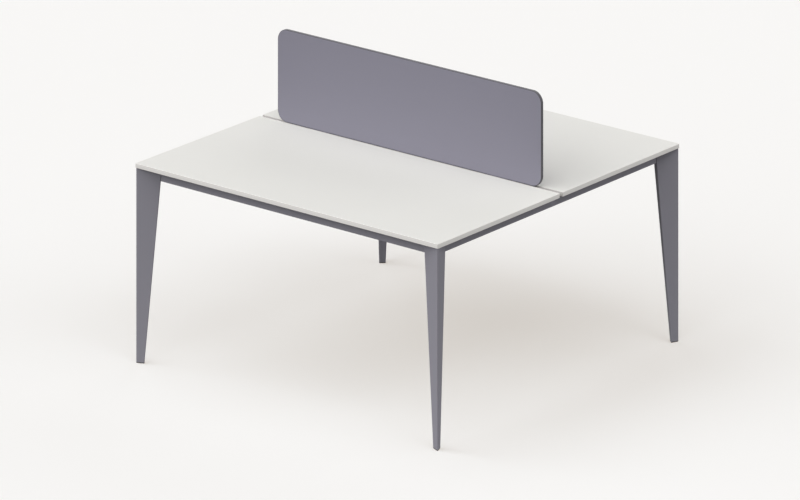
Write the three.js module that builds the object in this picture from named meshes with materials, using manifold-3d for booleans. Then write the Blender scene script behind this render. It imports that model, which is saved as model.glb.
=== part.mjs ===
// Benching desk for two: a pair of facing worktops on one steel frame, with a screen between them.
// Millimetres, +Z up. X runs along the desk, the front seat is on the -Y side,
// and the origin is on the floor under the middle of the desk.

import * as THREE from 'three';
import { mergeVertices } from 'three/addons/utils/BufferGeometryUtils.js';
import Module from 'manifold-3d';

// Whole desk
const DESK_LENGTH = 1400;
const DESK_HEIGHT = 722;
const FIT = 0.3; // gap left between pieces that are cut to each other

// Worktops: coated board with a glued edge band
const WORKTOP_DEPTH = 700;
const BOARD_THICKNESS = 16;
const EDGE_BAND = 2;
const BOARD_CORNER = 2; // corner radius of the board under its band

// Screen: board with a dark edge trim, standing in the gap between the worktops
const SCREEN_INSET = 86; // from the desk's end to the screen's end
const SCREEN_HEIGHT = 341;
const SCREEN_THICKNESS = 12;
const SCREEN_CORNER = 40; // corner radius of the board under its trim
const SCREEN_TRIM = 2;
const SCREEN_CLEARANCE = 1.5; // between the screen and either worktop
const SCREEN_SKIN = 3; // board left on either side of a post's slot

// Legs: folded sheet, a wedge in plan that narrows towards the floor
const LEG_SPREAD = 45; // degrees between the two outer faces
const LEG_TOP_FACE = 102; // width of an outer face under the worktop
const LEG_BOTTOM_FACE = 36;
const LEG_WALL = 2;
const LEG_INNER_FOLD = 0.5;
const LEG_SETBACK = 0.5; // outer edge behind the worktop's edges

// Feet: plastic end cap in the leg, screwed foot whose pad sinks into the cap
const FOOT_PAD_RADIUS = 7;
const FOOT_PAD_HEIGHT = 3;
const FOOT_PAD_PROUD = 1; // pad below the cap when it is screwed right in
const FOOT_PAD_CHAMFER = 0.6;
const FOOT_STUD_RADIUS = 3;
const FOOT_STUD_LENGTH = 24;
const CAP_FLANGE = 3;
const CAP_PLUG = 20;

// Rails and beam: rectangular steel tube
const RAIL_HEIGHT = 42;
const RAIL_DEPTH = 20;
const RAIL_WALL = 2;
const BEAM_WIDTH = 80;
const BEAM_HEIGHT = 40;
const BEAM_WALL = 2;
const TUBE_INNER_FOLD = 1;

// Corner joint: a pressed bracket hooked into both rails, drawn up to the leg by one bolt
const BRACKET_SHEET = 3;
const BRACKET_REACH = 55; // from the rails' inner corner to the hook
const BRACKET_BEND = 4; // straight stretch of a hook before the web
const BRACKET_HOOK = 6; // depth of a hook in its rail
const BRACKET_MARGIN = 5; // below the rail's upper face and above its lower one
const LEG_BOLT_RADIUS = 4;
const LEG_BOLT_HEAD_RADIUS = 7.5;
const LEG_BOLT_HEAD = 5.5;
const LEG_BOLT_TIP = 3; // thread showing past the nut
const LEG_NUT_WIDTH = 20;
const LEG_NUT_HEIGHT = 20;
const LEG_NUT_DEPTH = 10;

// Beam hangers: folded stirrups on the end rails
const HANGER_SHEET = 3;
const HANGER_LENGTH = 50;
const HANGER_FLANGE = 28;
const HANGER_BOLT_RADIUS = 3;
const HANGER_BOLT_HEAD_RADIUS = 5.8;
const HANGER_BOLT_HEAD = 4;
const HANGER_BOLT_TIP = 6; // thread past the rail's or the beam's wall

// Screen posts: a block in the gap with a blade that stands in the screen
const POST_LENGTH = 90;
const POST_INSET = 200; // from the screen's end to the middle of a post
const POST_BLADE_LENGTH = 50;
const POST_BLADE_HEIGHT = 60;
const POST_SCREW_SPREAD = 60;

// Screws that come up through the tubes into the boards and the posts
const SCREW_RADIUS = 2.25;
const SCREW_HEAD_RADIUS = 4.5;
const SCREW_HEAD = 3;
const SCREW_HEAD_CHAMFER = 1;
const SCREW_COVER = 5; // board or post left above a screw's tip
const SCREW_INSET = 250; // from the desk's end to a worktop screw
const ACCESS_CLEARANCE = 1.5; // around a screw head in a tube's lower wall

// Mesh settings
const CURVE_STEPS = 3;
const SCREEN_CORNER_STEPS = 10;
const CIRCLE_STEPS = 12;
const HEX_SIDES = 6;
const CUT_MARGIN = 1; // how far a cutter runs past what it cuts

// Places worked out from the sizes above
const CENTRE_GAP = SCREEN_THICKNESS + 2 * SCREEN_CLEARANCE;
const DESK_DEPTH = 2 * WORKTOP_DEPTH + CENTRE_GAP;
const BOARD_BOTTOM = DESK_HEIGHT - BOARD_THICKNESS;
const SCREEN_LENGTH = DESK_LENGTH - 2 * SCREEN_INSET;
const SCREEN_BOTTOM = DESK_HEIGHT; // the trim just shows above the worktops
const LEG_BOTTOM = FOOT_PAD_PROUD + CAP_FLANGE;
const HALF_SPREAD = THREE.MathUtils.degToRad(LEG_SPREAD / 2);
const DIAGONAL = Math.PI / 4;
const LEG_OUTER_FOLD = LEG_INNER_FOLD + LEG_WALL;
const RAIL_FACE = LEG_TOP_FACE * Math.sin(DIAGONAL - HALF_SPREAD); // from the leg's edge to a rail
const RAIL_INNER = RAIL_FACE + RAIL_DEPTH;
const RAIL_INSET = LEG_SETBACK + RAIL_FACE;
const RAIL_MIDDLE = BOARD_BOTTOM - RAIL_HEIGHT / 2;
const BEAM_BOTTOM = BOARD_BOTTOM - BEAM_HEIGHT;
const BEAM_SEAT = DESK_LENGTH / 2 - LEG_SETBACK - RAIL_INNER - FIT; // x of the beam's end
const BEAM_SCREW_ROW = (CENTRE_GAP + BEAM_WIDTH) / 4; // middle of a worktop's bearing on the beam
const BRACKET_HOOK_START = RAIL_INNER + BRACKET_REACH;
const BRACKET_HEIGHT = RAIL_HEIGHT - 2 * BRACKET_MARGIN;
const BRACKET_WEB = (BRACKET_HOOK_START + RAIL_INNER + BRACKET_BEND) * Math.SQRT1_2 + BRACKET_SHEET;
const POST_PLACE = SCREEN_LENGTH / 2 - POST_INSET;
const POST_BLOCK_HEIGHT = SCREEN_BOTTOM - BOARD_BOTTOM;
const POST_SLOT = SCREEN_THICKNESS - 2 * SCREEN_SKIN;
const SCREW_REACH = BOARD_THICKNESS - SCREW_COVER;
const POST_SCREW_REACH = POST_BLOCK_HEIGHT - SCREW_COVER;
const SCREW_PLACE = DESK_LENGTH / 2 - SCREW_INSET;

// The four corners, each a quarter turn on from the last
const CORNERS = [
  { name: 'front_left', x: -1, y: -1, turn: 0 },
  { name: 'front_right', x: 1, y: -1, turn: Math.PI / 2 },
  { name: 'rear_right', x: 1, y: 1, turn: Math.PI },
  { name: 'rear_left', x: -1, y: 1, turn: -Math.PI / 2 },
];
const SIDES = [
  { name: 'left', x: -1, turn: Math.PI },
  { name: 'right', x: 1, turn: 0 },
];
const SEATS = [
  { name: 'front', y: -1, turn: 0 },
  { name: 'rear', y: 1, turn: Math.PI },
];

// Finishes
const FINISHES = {
  board: { color: '#e2e3de', roughness: 0.45, metalness: 0 },
  band: { color: '#dedcd9', roughness: 0.4, metalness: 0 },
  steel: { color: '#85838d', roughness: 0.55, metalness: 0.1 },
  zinc: { color: '#b4b7ba', roughness: 0.35, metalness: 0.9 },
  screen: { color: '#89878f', roughness: 0.9, metalness: 0 },
  trim: { color: '#6a6970', roughness: 0.5, metalness: 0 },
  plastic: { color: '#3b3b3f', roughness: 0.6, metalness: 0 },
};

const wasm = await Module();
wasm.setup();

const desk = new THREE.Group();

// Adds one named piece to the desk, or to a group in it
function addPiece(name, geometry, finish, parent = desk) {
  const mesh = new THREE.Mesh(geometry, new THREE.MeshStandardMaterial(FINISHES[finish]));
  mesh.name = name;
  parent.add(mesh);
  return mesh;
}

// Joining and cutting of closed geometries
function solidOf(geometry) {
  const bare = geometry.clone();
  bare.deleteAttribute('normal');
  bare.deleteAttribute('uv');
  const merged = mergeVertices(bare);
  const vertProperties = new Float32Array(merged.attributes.position.array);
  const triVerts = new Uint32Array(merged.index.array);
  return new wasm.Manifold(new wasm.Mesh({ numProp: 3, vertProperties, triVerts }));
}

function geometryOf(solid) {
  const { vertProperties, triVerts } = solid.getMesh();
  const geometry = new THREE.BufferGeometry();
  geometry.setAttribute('position', new THREE.BufferAttribute(vertProperties, 3));
  geometry.setIndex(new THREE.BufferAttribute(triVerts, 1));
  geometry.computeVertexNormals();
  return geometry;
}

function cut(geometry, ...cutters) {
  return geometryOf(cutters.reduce((rest, cutter) => rest.subtract(solidOf(cutter)), solidOf(geometry)));
}

function join(geometry, ...others) {
  return geometryOf(others.reduce((whole, other) => whole.add(solidOf(other)), solidOf(geometry)));
}

// A convex outline, listed anticlockwise, with every corner rounded to one radius
function roundedOutline(corners, radius, OutlineClass = THREE.Shape) {
  const outline = new OutlineClass();
  corners.forEach((corner, i) => {
    const back = corners.at(i - 1).clone().sub(corner).normalize();
    const ahead = corners[(i + 1) % corners.length].clone().sub(corner).normalize();
    const half = Math.acos(back.dot(ahead)) / 2;
    const inward = back.clone().add(ahead).normalize();
    const centre = corner.clone().addScaledVector(inward, radius / Math.sin(half));
    const start = corner.clone().addScaledVector(back, radius / Math.tan(half)).sub(centre);
    const end = corner.clone().addScaledVector(ahead, radius / Math.tan(half)).sub(centre);
    outline.absarc(centre.x, centre.y, radius, start.angle(), end.angle(), false);
  });
  outline.closePath();
  return outline;
}

function rectangle(width, height) {
  const x = width / 2;
  const y = height / 2;
  return [[-x, -y], [x, -y], [x, y], [-x, y]].map(([u, v]) => new THREE.Vector2(u, v));
}

function extrude(shape, depth, curveSegments = CURVE_STEPS) {
  return new THREE.ExtrudeGeometry(shape, { depth, bevelEnabled: false, curveSegments });
}

// A rounded slab and the band of even width that goes round it, both lying flat on z = 0
function roundedSlab(width, height, corner, depth, cornerSteps) {
  return extrude(roundedOutline(rectangle(width, height), corner), depth, cornerSteps);
}

function roundedBand(width, height, corner, band, depth, cornerSteps) {
  const outline = roundedOutline(rectangle(width + 2 * band, height + 2 * band), corner + band);
  outline.holes.push(roundedOutline(rectangle(width, height), corner, THREE.Path));
  return extrude(outline, depth, cornerSteps);
}

// A rectangular tube along X, centred on the origin
function tube(length, depth, height, wall) {
  const inner = rectangle(height - 2 * wall, depth - 2 * wall);
  const outline = roundedOutline(rectangle(height, depth), TUBE_INNER_FOLD + wall);
  outline.holes.push(roundedOutline(inner, TUBE_INNER_FOLD, THREE.Path));
  return extrude(outline, length).translate(0, 0, -length / 2).rotateY(Math.PI / 2);
}

// A block with its lower face's middle at a point
function block(length, width, height, x, y, z) {
  return new THREE.BoxGeometry(length, width, height).translate(x, y, z + height / 2);
}

// A round upright cutter between two heights
function uprightHole(radius, x, y, fromZ, toZ) {
  const height = toZ - fromZ;
  const hole = new THREE.CylinderGeometry(radius, radius, height, CIRCLE_STEPS);
  return hole.rotateX(Math.PI / 2).translate(x, y, fromZ + height / 2);
}

// A pan-head screw that points up, with the seat of its head at z = 0
function screw(reach) {
  const profile = [
    [0, -SCREW_HEAD],
    [SCREW_HEAD_RADIUS - SCREW_HEAD_CHAMFER, -SCREW_HEAD],
    [SCREW_HEAD_RADIUS, SCREW_HEAD_CHAMFER - SCREW_HEAD],
    [SCREW_HEAD_RADIUS, 0],
    [SCREW_RADIUS, 0],
    [SCREW_RADIUS, reach - SCREW_RADIUS],
    [0, reach],
  ].map(([r, z]) => new THREE.Vector2(r, z));
  return new THREE.LatheGeometry(profile, CIRCLE_STEPS).rotateX(Math.PI / 2);
}

// A hexagon-head bolt that points along +Y, with the seat of its head at y = 0
function hexBolt(radius, length, headRadius, head) {
  const shankLength = length + head / 2;
  const shank = new THREE.CylinderGeometry(radius, radius, shankLength, CIRCLE_STEPS);
  const hexagon = new THREE.CylinderGeometry(headRadius, headRadius, head, HEX_SIDES);
  return join(hexagon.translate(0, -head / 2, 0), shank.translate(0, length - shankLength / 2, 0));
}

// Leg. In a corner's own frame the leg's outer edge is the Z axis and the rails run along +X and +Y.
function legFaceWidth(z) {
  const climbed = (z - LEG_BOTTOM) / (BOARD_BOTTOM - LEG_BOTTOM);
  return LEG_BOTTOM_FACE + (LEG_TOP_FACE - LEG_BOTTOM_FACE) * climbed;
}

// Distance along the corner's diagonal from the leg's outer edge to its inner face
function legInnerFace(z) {
  return legFaceWidth(z) * Math.cos(HALF_SPREAD);
}

// The leg's solid wedge between two heights, with its three faces moved outwards by an offset
function legWedge(offset, fromZ, toZ, fold) {
  const back = offset / Math.sin(HALF_SPREAD);
  const extra = (offset + back) / Math.cos(HALF_SPREAD);
  const along = (angle, length) => new THREE.Vector2(length, 0).rotateAround(new THREE.Vector2(), angle);
  const angles = [DIAGONAL - HALF_SPREAD, DIAGONAL + HALF_SPREAD];
  const edge = along(DIAGONAL, -back);
  const rims = angles.map((angle) => along(angle, legFaceWidth(toZ) + extra).add(edge));
  const slides = angles.map((angle) => along(angle, legFaceWidth(fromZ) - legFaceWidth(toZ)));
  const geometry = extrude(roundedOutline([edge, ...rims], fold), toZ - fromZ);
  const position = geometry.attributes.position;
  for (let i = 0; i < position.count; i += 1) {
    const point = new THREE.Vector2(position.getX(i), position.getY(i));
    const rim = rims.findIndex((corner) => corner.distanceTo(point) < edge.distanceTo(point)
      && rims.every((other) => corner.distanceTo(point) <= other.distanceTo(point)));
    if (position.getZ(i) === 0 && rim >= 0) {
      point.add(slides[rim]);
      position.setXY(i, point.x, point.y);
    }
  }
  return geometry.translate(0, 0, fromZ);
}

// Turns a piece made along +Y to face the leg, and moves it along the corner's diagonal
function onDiagonal(geometry, distance, z) {
  const reach = distance * Math.SQRT1_2;
  return geometry.rotateZ(Math.PI / 2 + DIAGONAL).translate(reach, reach, z);
}

// The leg's nut is a block behind its inner face
function legNutSeat(z) {
  return legInnerFace(z) - LEG_WALL - FIT;
}

const LEG_NUT_BACK = legNutSeat(RAIL_MIDDLE) - LEG_NUT_DEPTH;

// Room for the leg bolt, from behind its tip to the bracket's far face
function legBoltHole() {
  const radius = LEG_BOLT_RADIUS + FIT;
  const start = LEG_NUT_BACK - LEG_BOLT_TIP - CUT_MARGIN;
  const end = BRACKET_WEB + CUT_MARGIN;
  const hole = new THREE.CylinderGeometry(radius, radius, end - start, CIRCLE_STEPS);
  return onDiagonal(hole, (start + end) / 2, RAIL_MIDDLE);
}

function leg() {
  const outside = legWedge(0, LEG_BOTTOM, BOARD_BOTTOM, LEG_OUTER_FOLD);
  const inside = legWedge(-LEG_WALL, LEG_BOTTOM - CUT_MARGIN, BOARD_BOTTOM + CUT_MARGIN, LEG_INNER_FOLD);
  return cut(outside, inside, legBoltHole());
}

// A foot stands under the middle of the circle that fits in the leg's lower end
const FOOT_INRADIUS = LEG_BOTTOM_FACE * Math.sin(2 * HALF_SPREAD) / 2 / (1 + Math.sin(HALF_SPREAD));
const FOOT_PLACE = FOOT_INRADIUS / Math.sin(HALF_SPREAD) * Math.SQRT1_2;

function legEndCap() {
  const top = LEG_BOTTOM + CAP_PLUG;
  const flange = legWedge(0, FOOT_PAD_PROUD, LEG_BOTTOM, LEG_OUTER_FOLD);
  const plug = legWedge(-LEG_WALL - FIT, LEG_BOTTOM - CUT_MARGIN, top, LEG_INNER_FOLD);
  const thread = uprightHole(FOOT_STUD_RADIUS + FIT, FOOT_PLACE, FOOT_PLACE, 0, top + CUT_MARGIN);
  const recess = uprightHole(FOOT_PAD_RADIUS + FIT, FOOT_PLACE, FOOT_PLACE, 0, FOOT_PAD_HEIGHT + FIT);
  return cut(join(flange, plug), thread, recess);
}

function levellingFoot() {
  const top = FOOT_PAD_HEIGHT + FOOT_STUD_LENGTH;
  const profile = [
    [0, 0],
    [FOOT_PAD_RADIUS - FOOT_PAD_CHAMFER, 0],
    [FOOT_PAD_RADIUS, FOOT_PAD_CHAMFER],
    [FOOT_PAD_RADIUS, FOOT_PAD_HEIGHT],
    [FOOT_STUD_RADIUS, FOOT_PAD_HEIGHT],
    [FOOT_STUD_RADIUS, top - FOOT_PAD_CHAMFER],
    [FOOT_STUD_RADIUS - FOOT_PAD_CHAMFER, top],
    [0, top],
  ].map(([r, z]) => new THREE.Vector2(r, z));
  const foot = new THREE.LatheGeometry(profile, CIRCLE_STEPS);
  return foot.rotateX(Math.PI / 2).translate(FOOT_PLACE, FOOT_PLACE, 0);
}

// Corner bracket: its web crosses the corner and its two ends hook into slots in the rails
function cornerBracket() {
  const hook = BRACKET_HOOK_START;
  const tip = RAIL_INNER - BRACKET_HOOK;
  const bend = RAIL_INNER + BRACKET_BEND;
  const outerBend = bend + BRACKET_SHEET * (Math.SQRT2 - 1);
  const half = [[hook, tip], [hook + BRACKET_SHEET, tip], [hook + BRACKET_SHEET, outerBend]];
  const mirrored = half.toReversed().map(([x, y]) => [y, x]);
  const outline = [...half, ...mirrored, [bend, hook], [hook, bend]];
  const points = outline.map(([x, y]) => new THREE.Vector2(x, y));
  const plate = extrude(new THREE.Shape(points), BRACKET_HEIGHT);
  return cut(plate.translate(0, 0, RAIL_MIDDLE - BRACKET_HEIGHT / 2), legBoltHole());
}

function bracketSlots() {
  const width = BRACKET_SHEET + 2 * FIT;
  const depth = RAIL_WALL + 2 * CUT_MARGIN;
  const height = BRACKET_HEIGHT + 2 * FIT;
  const along = BRACKET_HOOK_START + BRACKET_SHEET / 2;
  const across = RAIL_INNER - RAIL_WALL / 2;
  const bottom = RAIL_MIDDLE - height / 2;
  return [
    block(width, depth, height, along, across, bottom),
    block(depth, width, height, across, along, bottom),
  ];
}

function legNut() {
  const low = RAIL_MIDDLE - LEG_NUT_HEIGHT / 2;
  const high = RAIL_MIDDLE + LEG_NUT_HEIGHT / 2;
  const seat = [[legNutSeat(low), low], [legNutSeat(high), high]];
  const side = [[LEG_NUT_BACK, low], ...seat, [LEG_NUT_BACK, high]];
  const plate = extrude(new THREE.Shape(side.map(([u, z]) => new THREE.Vector2(u, z))), LEG_NUT_WIDTH);
  const turned = plate.rotateX(Math.PI / 2).translate(0, LEG_NUT_WIDTH / 2, 0).rotateZ(DIAGONAL);
  return cut(turned, legBoltHole());
}

function legBolt() {
  const seat = BRACKET_WEB + FIT;
  const length = seat - LEG_NUT_BACK + LEG_BOLT_TIP;
  const bolt = hexBolt(LEG_BOLT_RADIUS, length, LEG_BOLT_HEAD_RADIUS, LEG_BOLT_HEAD);
  return onDiagonal(bolt, seat, RAIL_MIDDLE);
}

function cornerPlace({ x, y }) {
  return [x * (DESK_LENGTH / 2 - LEG_SETBACK), y * (DESK_DEPTH / 2 - LEG_SETBACK), 0];
}

for (const corner of CORNERS) {
  const group = new THREE.Group();
  group.position.set(...cornerPlace(corner));
  group.rotation.z = corner.turn;
  desk.add(group);
  addPiece(`${corner.name}_leg`, leg(), 'steel', group);
  addPiece(`${corner.name}_leg_end_cap`, legEndCap(), 'plastic', group);
  addPiece(`${corner.name}_levelling_foot`, levellingFoot(), 'plastic', group);
  addPiece(`${corner.name}_corner_bracket`, cornerBracket(), 'zinc', group);
  addPiece(`${corner.name}_leg_bolt`, legBolt(), 'zinc', group);
  addPiece(`${corner.name}_leg_nut`, legNut(), 'zinc', group);
}

// What the corners take out of the rails: room for the leg and its bolt, and the bracket's slots
function cornerCutters() {
  const low = BOARD_BOTTOM - RAIL_HEIGHT - CUT_MARGIN;
  const wedge = legWedge(FIT, low, BOARD_BOTTOM + CUT_MARGIN, LEG_OUTER_FOLD);
  return [wedge, legBoltHole(), ...bracketSlots()];
}

const railCutters = CORNERS.flatMap((corner) => cornerCutters().map(
  (cutter) => cutter.rotateZ(corner.turn).translate(...cornerPlace(corner)),
));

// A screw's way up through a tube: an access hole below and a close hole in the upper wall
function screwWay(x, y, tubeBottom, wall) {
  const access = SCREW_HEAD_RADIUS + ACCESS_CLEARANCE;
  return [
    uprightHole(access, x, y, tubeBottom - CUT_MARGIN, tubeBottom + wall + CUT_MARGIN),
    uprightHole(SCREW_RADIUS + FIT, x, y, BOARD_BOTTOM - wall - CUT_MARGIN, BOARD_BOTTOM + CUT_MARGIN),
  ];
}

// A rail along X with its outer face to -Y, mitred at both ends
function rail(length) {
  const geometry = tube(length, RAIL_DEPTH, RAIL_HEIGHT, RAIL_WALL);
  const position = geometry.attributes.position;
  for (let i = 0; i < position.count; i += 1) {
    const mitre = position.getY(i) + RAIL_DEPTH / 2 + FIT;
    position.setX(i, position.getX(i) - Math.sign(position.getX(i)) * mitre);
  }
  return geometry;
}

// Front and rear rails
const railRow = DESK_DEPTH / 2 - RAIL_INSET - RAIL_DEPTH / 2;
for (const seat of SEATS) {
  const ways = SIDES.flatMap((side) => screwWay(
    side.x * SCREW_PLACE, seat.y * railRow, BOARD_BOTTOM - RAIL_HEIGHT, RAIL_WALL,
  ));
  const raw = rail(DESK_LENGTH - 2 * RAIL_INSET).rotateZ(seat.turn);
  raw.translate(0, seat.y * railRow, RAIL_MIDDLE);
  addPiece(`${seat.name}_rail`, cut(raw, ...railCutters, ...ways), 'steel');
}

// End rails, with holes in their inner walls for the hangers' bolts
const hangerBoltRow = BEAM_WIDTH / 2 + FIT + HANGER_SHEET + HANGER_FLANGE / 2;
const hangerBoltLength = HANGER_SHEET + FIT + RAIL_WALL + HANGER_BOLT_TIP;

function hangerBoltHoles() {
  const length = 2 * hangerBoltLength;
  const radius = HANGER_BOLT_RADIUS + FIT;
  return SEATS.map((seat) => new THREE.CylinderGeometry(radius, radius, length, CIRCLE_STEPS)
    .rotateZ(Math.PI / 2).translate(BEAM_SEAT, seat.y * hangerBoltRow, RAIL_MIDDLE));
}

const endRailRow = DESK_LENGTH / 2 - RAIL_INSET - RAIL_DEPTH / 2;
for (const side of SIDES) {
  const raw = rail(DESK_DEPTH - 2 * RAIL_INSET).rotateZ(side.turn + Math.PI / 2);
  raw.translate(side.x * endRailRow, 0, RAIL_MIDDLE);
  const holes = hangerBoltHoles().map((hole) => hole.rotateZ(side.turn));
  addPiece(`${side.name}_end_rail`, cut(raw, ...railCutters, ...holes), 'steel');
}

// Worktops
const boardLength = DESK_LENGTH - 2 * EDGE_BAND;
const boardDepth = WORKTOP_DEPTH - 2 * EDGE_BAND;
const worktopRow = (CENTRE_GAP + WORKTOP_DEPTH) / 2;

for (const seat of SEATS) {
  const row = seat.y * worktopRow;
  const places = SIDES.flatMap((side) => [
    { x: side.x * SCREW_PLACE, y: seat.y * railRow, wall: RAIL_WALL },
    { x: side.x * SCREW_PLACE, y: seat.y * BEAM_SCREW_ROW, wall: BEAM_WALL },
  ]);
  const pilots = places.map(({ x, y }) => uprightHole(
    SCREW_RADIUS + FIT, x, y, BOARD_BOTTOM - CUT_MARGIN, BOARD_BOTTOM + SCREW_REACH + FIT,
  ));
  const board = roundedSlab(boardLength, boardDepth, BOARD_CORNER, BOARD_THICKNESS);
  const band = roundedBand(boardLength, boardDepth, BOARD_CORNER, EDGE_BAND, BOARD_THICKNESS);
  board.translate(0, row, BOARD_BOTTOM);
  band.translate(0, row, BOARD_BOTTOM);
  addPiece(`${seat.name}_worktop`, cut(board, ...pilots), 'board');
  addPiece(`${seat.name}_worktop_edge_band`, band, 'band');
  places.forEach(({ x, y, wall }, i) => {
    const fixing = addPiece(`${seat.name}_worktop_screw_${i + 1}`, screw(wall + SCREW_REACH), 'zinc');
    fixing.position.set(x, y, BOARD_BOTTOM - wall);
  });
}

// Centre beam under the gap
const postScrewPlaces = SIDES.flatMap((post) => SIDES.map((side) => ({
  name: `${post.name}_screen_post_${side.name}_screw`,
  x: post.x * POST_PLACE + side.x * POST_SCREW_SPREAD / 2,
})));
const hangerScrewPlace = BEAM_SEAT - HANGER_LENGTH / 2;

function centreBeam() {
  const raw = tube(2 * BEAM_SEAT, BEAM_WIDTH, BEAM_HEIGHT, BEAM_WALL);
  const worktopWays = SIDES.flatMap((side) => SEATS.flatMap((seat) => screwWay(
    side.x * SCREW_PLACE, seat.y * BEAM_SCREW_ROW, BEAM_BOTTOM, BEAM_WALL,
  )));
  const postWays = postScrewPlaces.flatMap(({ x }) => screwWay(x, 0, BEAM_BOTTOM, BEAM_WALL));
  const hangerHoles = SIDES.map((side) => uprightHole(
    SCREW_RADIUS + FIT, side.x * hangerScrewPlace, 0,
    BEAM_BOTTOM - CUT_MARGIN, BEAM_BOTTOM + BEAM_WALL + CUT_MARGIN,
  ));
  raw.translate(0, 0, BEAM_BOTTOM + BEAM_HEIGHT / 2);
  return cut(raw, ...worktopWays, ...postWays, ...hangerHoles);
}

addPiece('centre_beam', centreBeam(), 'steel');

// Beam hangers: a floor and two cheeks round the beam's end, with flanges bolted to the end rail
function beamHanger() {
  const width = BEAM_WIDTH + 2 * (FIT + HANGER_SHEET);
  const height = BEAM_HEIGHT + HANGER_SHEET - FIT;
  const bottom = BEAM_BOTTOM - HANGER_SHEET;
  const middle = BEAM_SEAT - HANGER_LENGTH / 2;
  const flangeMiddle = BEAM_SEAT - HANGER_SHEET / 2;
  const stirrup = block(HANGER_LENGTH, width, height, middle, 0, bottom);
  const flanges = block(HANGER_SHEET, width + 2 * HANGER_FLANGE, height, flangeMiddle, 0, bottom);
  const room = block(
    2 * (HANGER_LENGTH + CUT_MARGIN), BEAM_WIDTH + 2 * FIT, BEAM_HEIGHT, BEAM_SEAT, 0, BEAM_BOTTOM,
  );
  const screwHole = uprightHole(
    SCREW_RADIUS + FIT, middle, 0, bottom - CUT_MARGIN, BEAM_BOTTOM + CUT_MARGIN,
  );
  return cut(join(stirrup, flanges), room, screwHole, ...hangerBoltHoles());
}

for (const side of SIDES) {
  const group = new THREE.Group();
  group.rotation.z = side.turn;
  desk.add(group);
  addPiece(`${side.name}_beam_hanger`, beamHanger(), 'zinc', group);
  for (const seat of SEATS) {
    const bolt = hexBolt(HANGER_BOLT_RADIUS, hangerBoltLength, HANGER_BOLT_HEAD_RADIUS, HANGER_BOLT_HEAD);
    const mesh = addPiece(`${side.name}_hanger_${seat.name}_bolt`, bolt, 'zinc', group);
    mesh.rotation.z = -Math.PI / 2;
    mesh.position.set(BEAM_SEAT - HANGER_SHEET, seat.y * side.x * hangerBoltRow, RAIL_MIDDLE);
  }
  const fixing = screw(HANGER_SHEET + BEAM_WALL + HANGER_BOLT_TIP);
  const mesh = addPiece(`${side.name}_hanger_screw`, fixing, 'zinc', group);
  mesh.position.set(hangerScrewPlace, 0, BEAM_BOTTOM - HANGER_SHEET);
}

// Screen posts
function screenPost() {
  const foot = block(POST_LENGTH, SCREEN_THICKNESS, POST_BLOCK_HEIGHT, 0, 0, BOARD_BOTTOM);
  const blade = block(
    POST_BLADE_LENGTH, POST_SLOT - 2 * FIT, POST_BLOCK_HEIGHT + POST_BLADE_HEIGHT, 0, 0, BOARD_BOTTOM,
  );
  const pilots = SIDES.map((side) => uprightHole(
    SCREW_RADIUS + FIT, side.x * POST_SCREW_SPREAD / 2, 0,
    BOARD_BOTTOM - CUT_MARGIN, BOARD_BOTTOM + POST_SCREW_REACH + FIT,
  ));
  return cut(join(foot, blade), ...pilots);
}

for (const side of SIDES) {
  const post = addPiece(`${side.name}_screen_post`, screenPost(), 'steel');
  post.position.x = side.x * POST_PLACE;
}
for (const { name, x } of postScrewPlaces) {
  const fixing = addPiece(name, screw(BEAM_WALL + POST_SCREW_REACH), 'zinc');
  fixing.position.set(x, 0, BOARD_BOTTOM - BEAM_WALL);
}

// Screen: the board and its trim, slotted from below for the posts' blades
const screenBoardLength = SCREEN_LENGTH - 2 * SCREEN_TRIM;
const screenBoardHeight = SCREEN_HEIGHT - 2 * SCREEN_TRIM;

function postSlots() {
  const height = POST_BLADE_HEIGHT + FIT + CUT_MARGIN;
  const length = POST_BLADE_LENGTH + 2 * FIT;
  return SIDES.map((side) => block(
    length, POST_SLOT, height, side.x * POST_PLACE, 0, SCREEN_BOTTOM - CUT_MARGIN,
  ));
}

function stood(slab) {
  return slab.rotateX(Math.PI / 2).translate(0, SCREEN_THICKNESS / 2, SCREEN_BOTTOM + SCREEN_HEIGHT / 2);
}

const screenBoard = roundedSlab(
  screenBoardLength, screenBoardHeight, SCREEN_CORNER, SCREEN_THICKNESS, SCREEN_CORNER_STEPS,
);
const screenTrim = roundedBand(
  screenBoardLength, screenBoardHeight, SCREEN_CORNER, SCREEN_TRIM, SCREEN_THICKNESS, SCREEN_CORNER_STEPS,
);
addPiece('screen_panel', cut(stood(screenBoard), ...postSlots()), 'screen');
addPiece('screen_edge_trim', cut(stood(screenTrim), ...postSlots()), 'trim');

export default desk;
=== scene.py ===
import math

import bmesh
import bpy
from bpy.props import FloatProperty, FloatVectorProperty, IntProperty, PointerProperty
from mathutils import Matrix, Vector


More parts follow.
